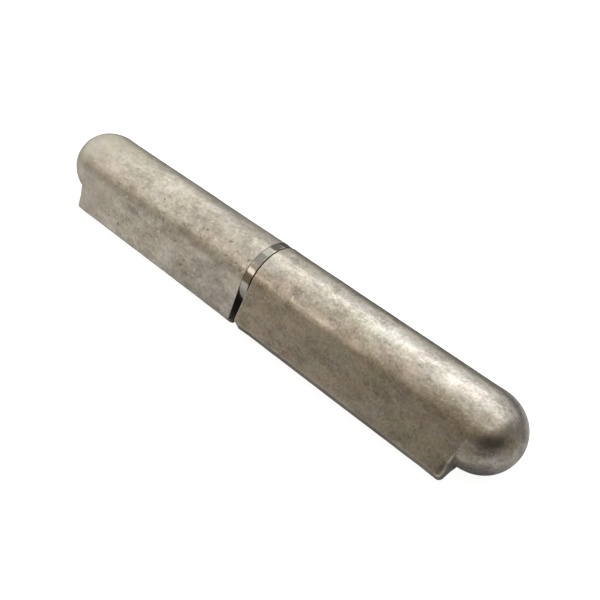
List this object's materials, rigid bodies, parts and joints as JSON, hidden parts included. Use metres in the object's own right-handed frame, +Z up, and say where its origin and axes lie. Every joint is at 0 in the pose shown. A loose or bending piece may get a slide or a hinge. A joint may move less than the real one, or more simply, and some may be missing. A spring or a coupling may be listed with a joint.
{
  "type": "weld on barrel hinge",
  "caption": "Lift-off barrel hinge with two drop-shaped leaves, domed ends, a fixed pin and a thrust washer, for welding on.",
  "frame": {"origin": "on the resting surface, under the middle of the hinge's box: the hinge axis runs over it at a barrel's radius, 1.65 mm to its +Y side", "axes": "+X along the hinge axis from the lower leaf, which holds the pin, to the upper leaf, which lifts off that way; +Z up from the lower leaf's flank that the hinge lies on; the leaves' weld noses point to -Y and down"},
  "size_m": [0.12, 0.0194, 0.016],
  "materials": {
    "leaf_steel": "bare stainless steel, tumbled to a mottled satin",
    "pin_steel": "bright drawn and ground steel",
    "washer_steel": "polished turned steel"
  },
  "bodies": {
    "lower_leaf": {"lower_leaf": "leaf_steel", "hinge_pin": "pin_steel"},
    "thrust_washer": {"thrust_washer": "washer_steel"},
    "upper_leaf": {"upper_leaf": "leaf_steel"}
  },
  "joints": [
    {"name": "swing", "type": "hinge", "parent": "lower_leaf", "child": "thrust_washer", "pos_m": [0, 0.00165, 0.008], "axis": [1, 0, 0], "continuous": true},
    {"name": "lift_off", "type": "slide", "parent": "thrust_washer", "child": "upper_leaf", "axis": [1, 0, 0], "range_m": [0, 0.045]}
  ]
}
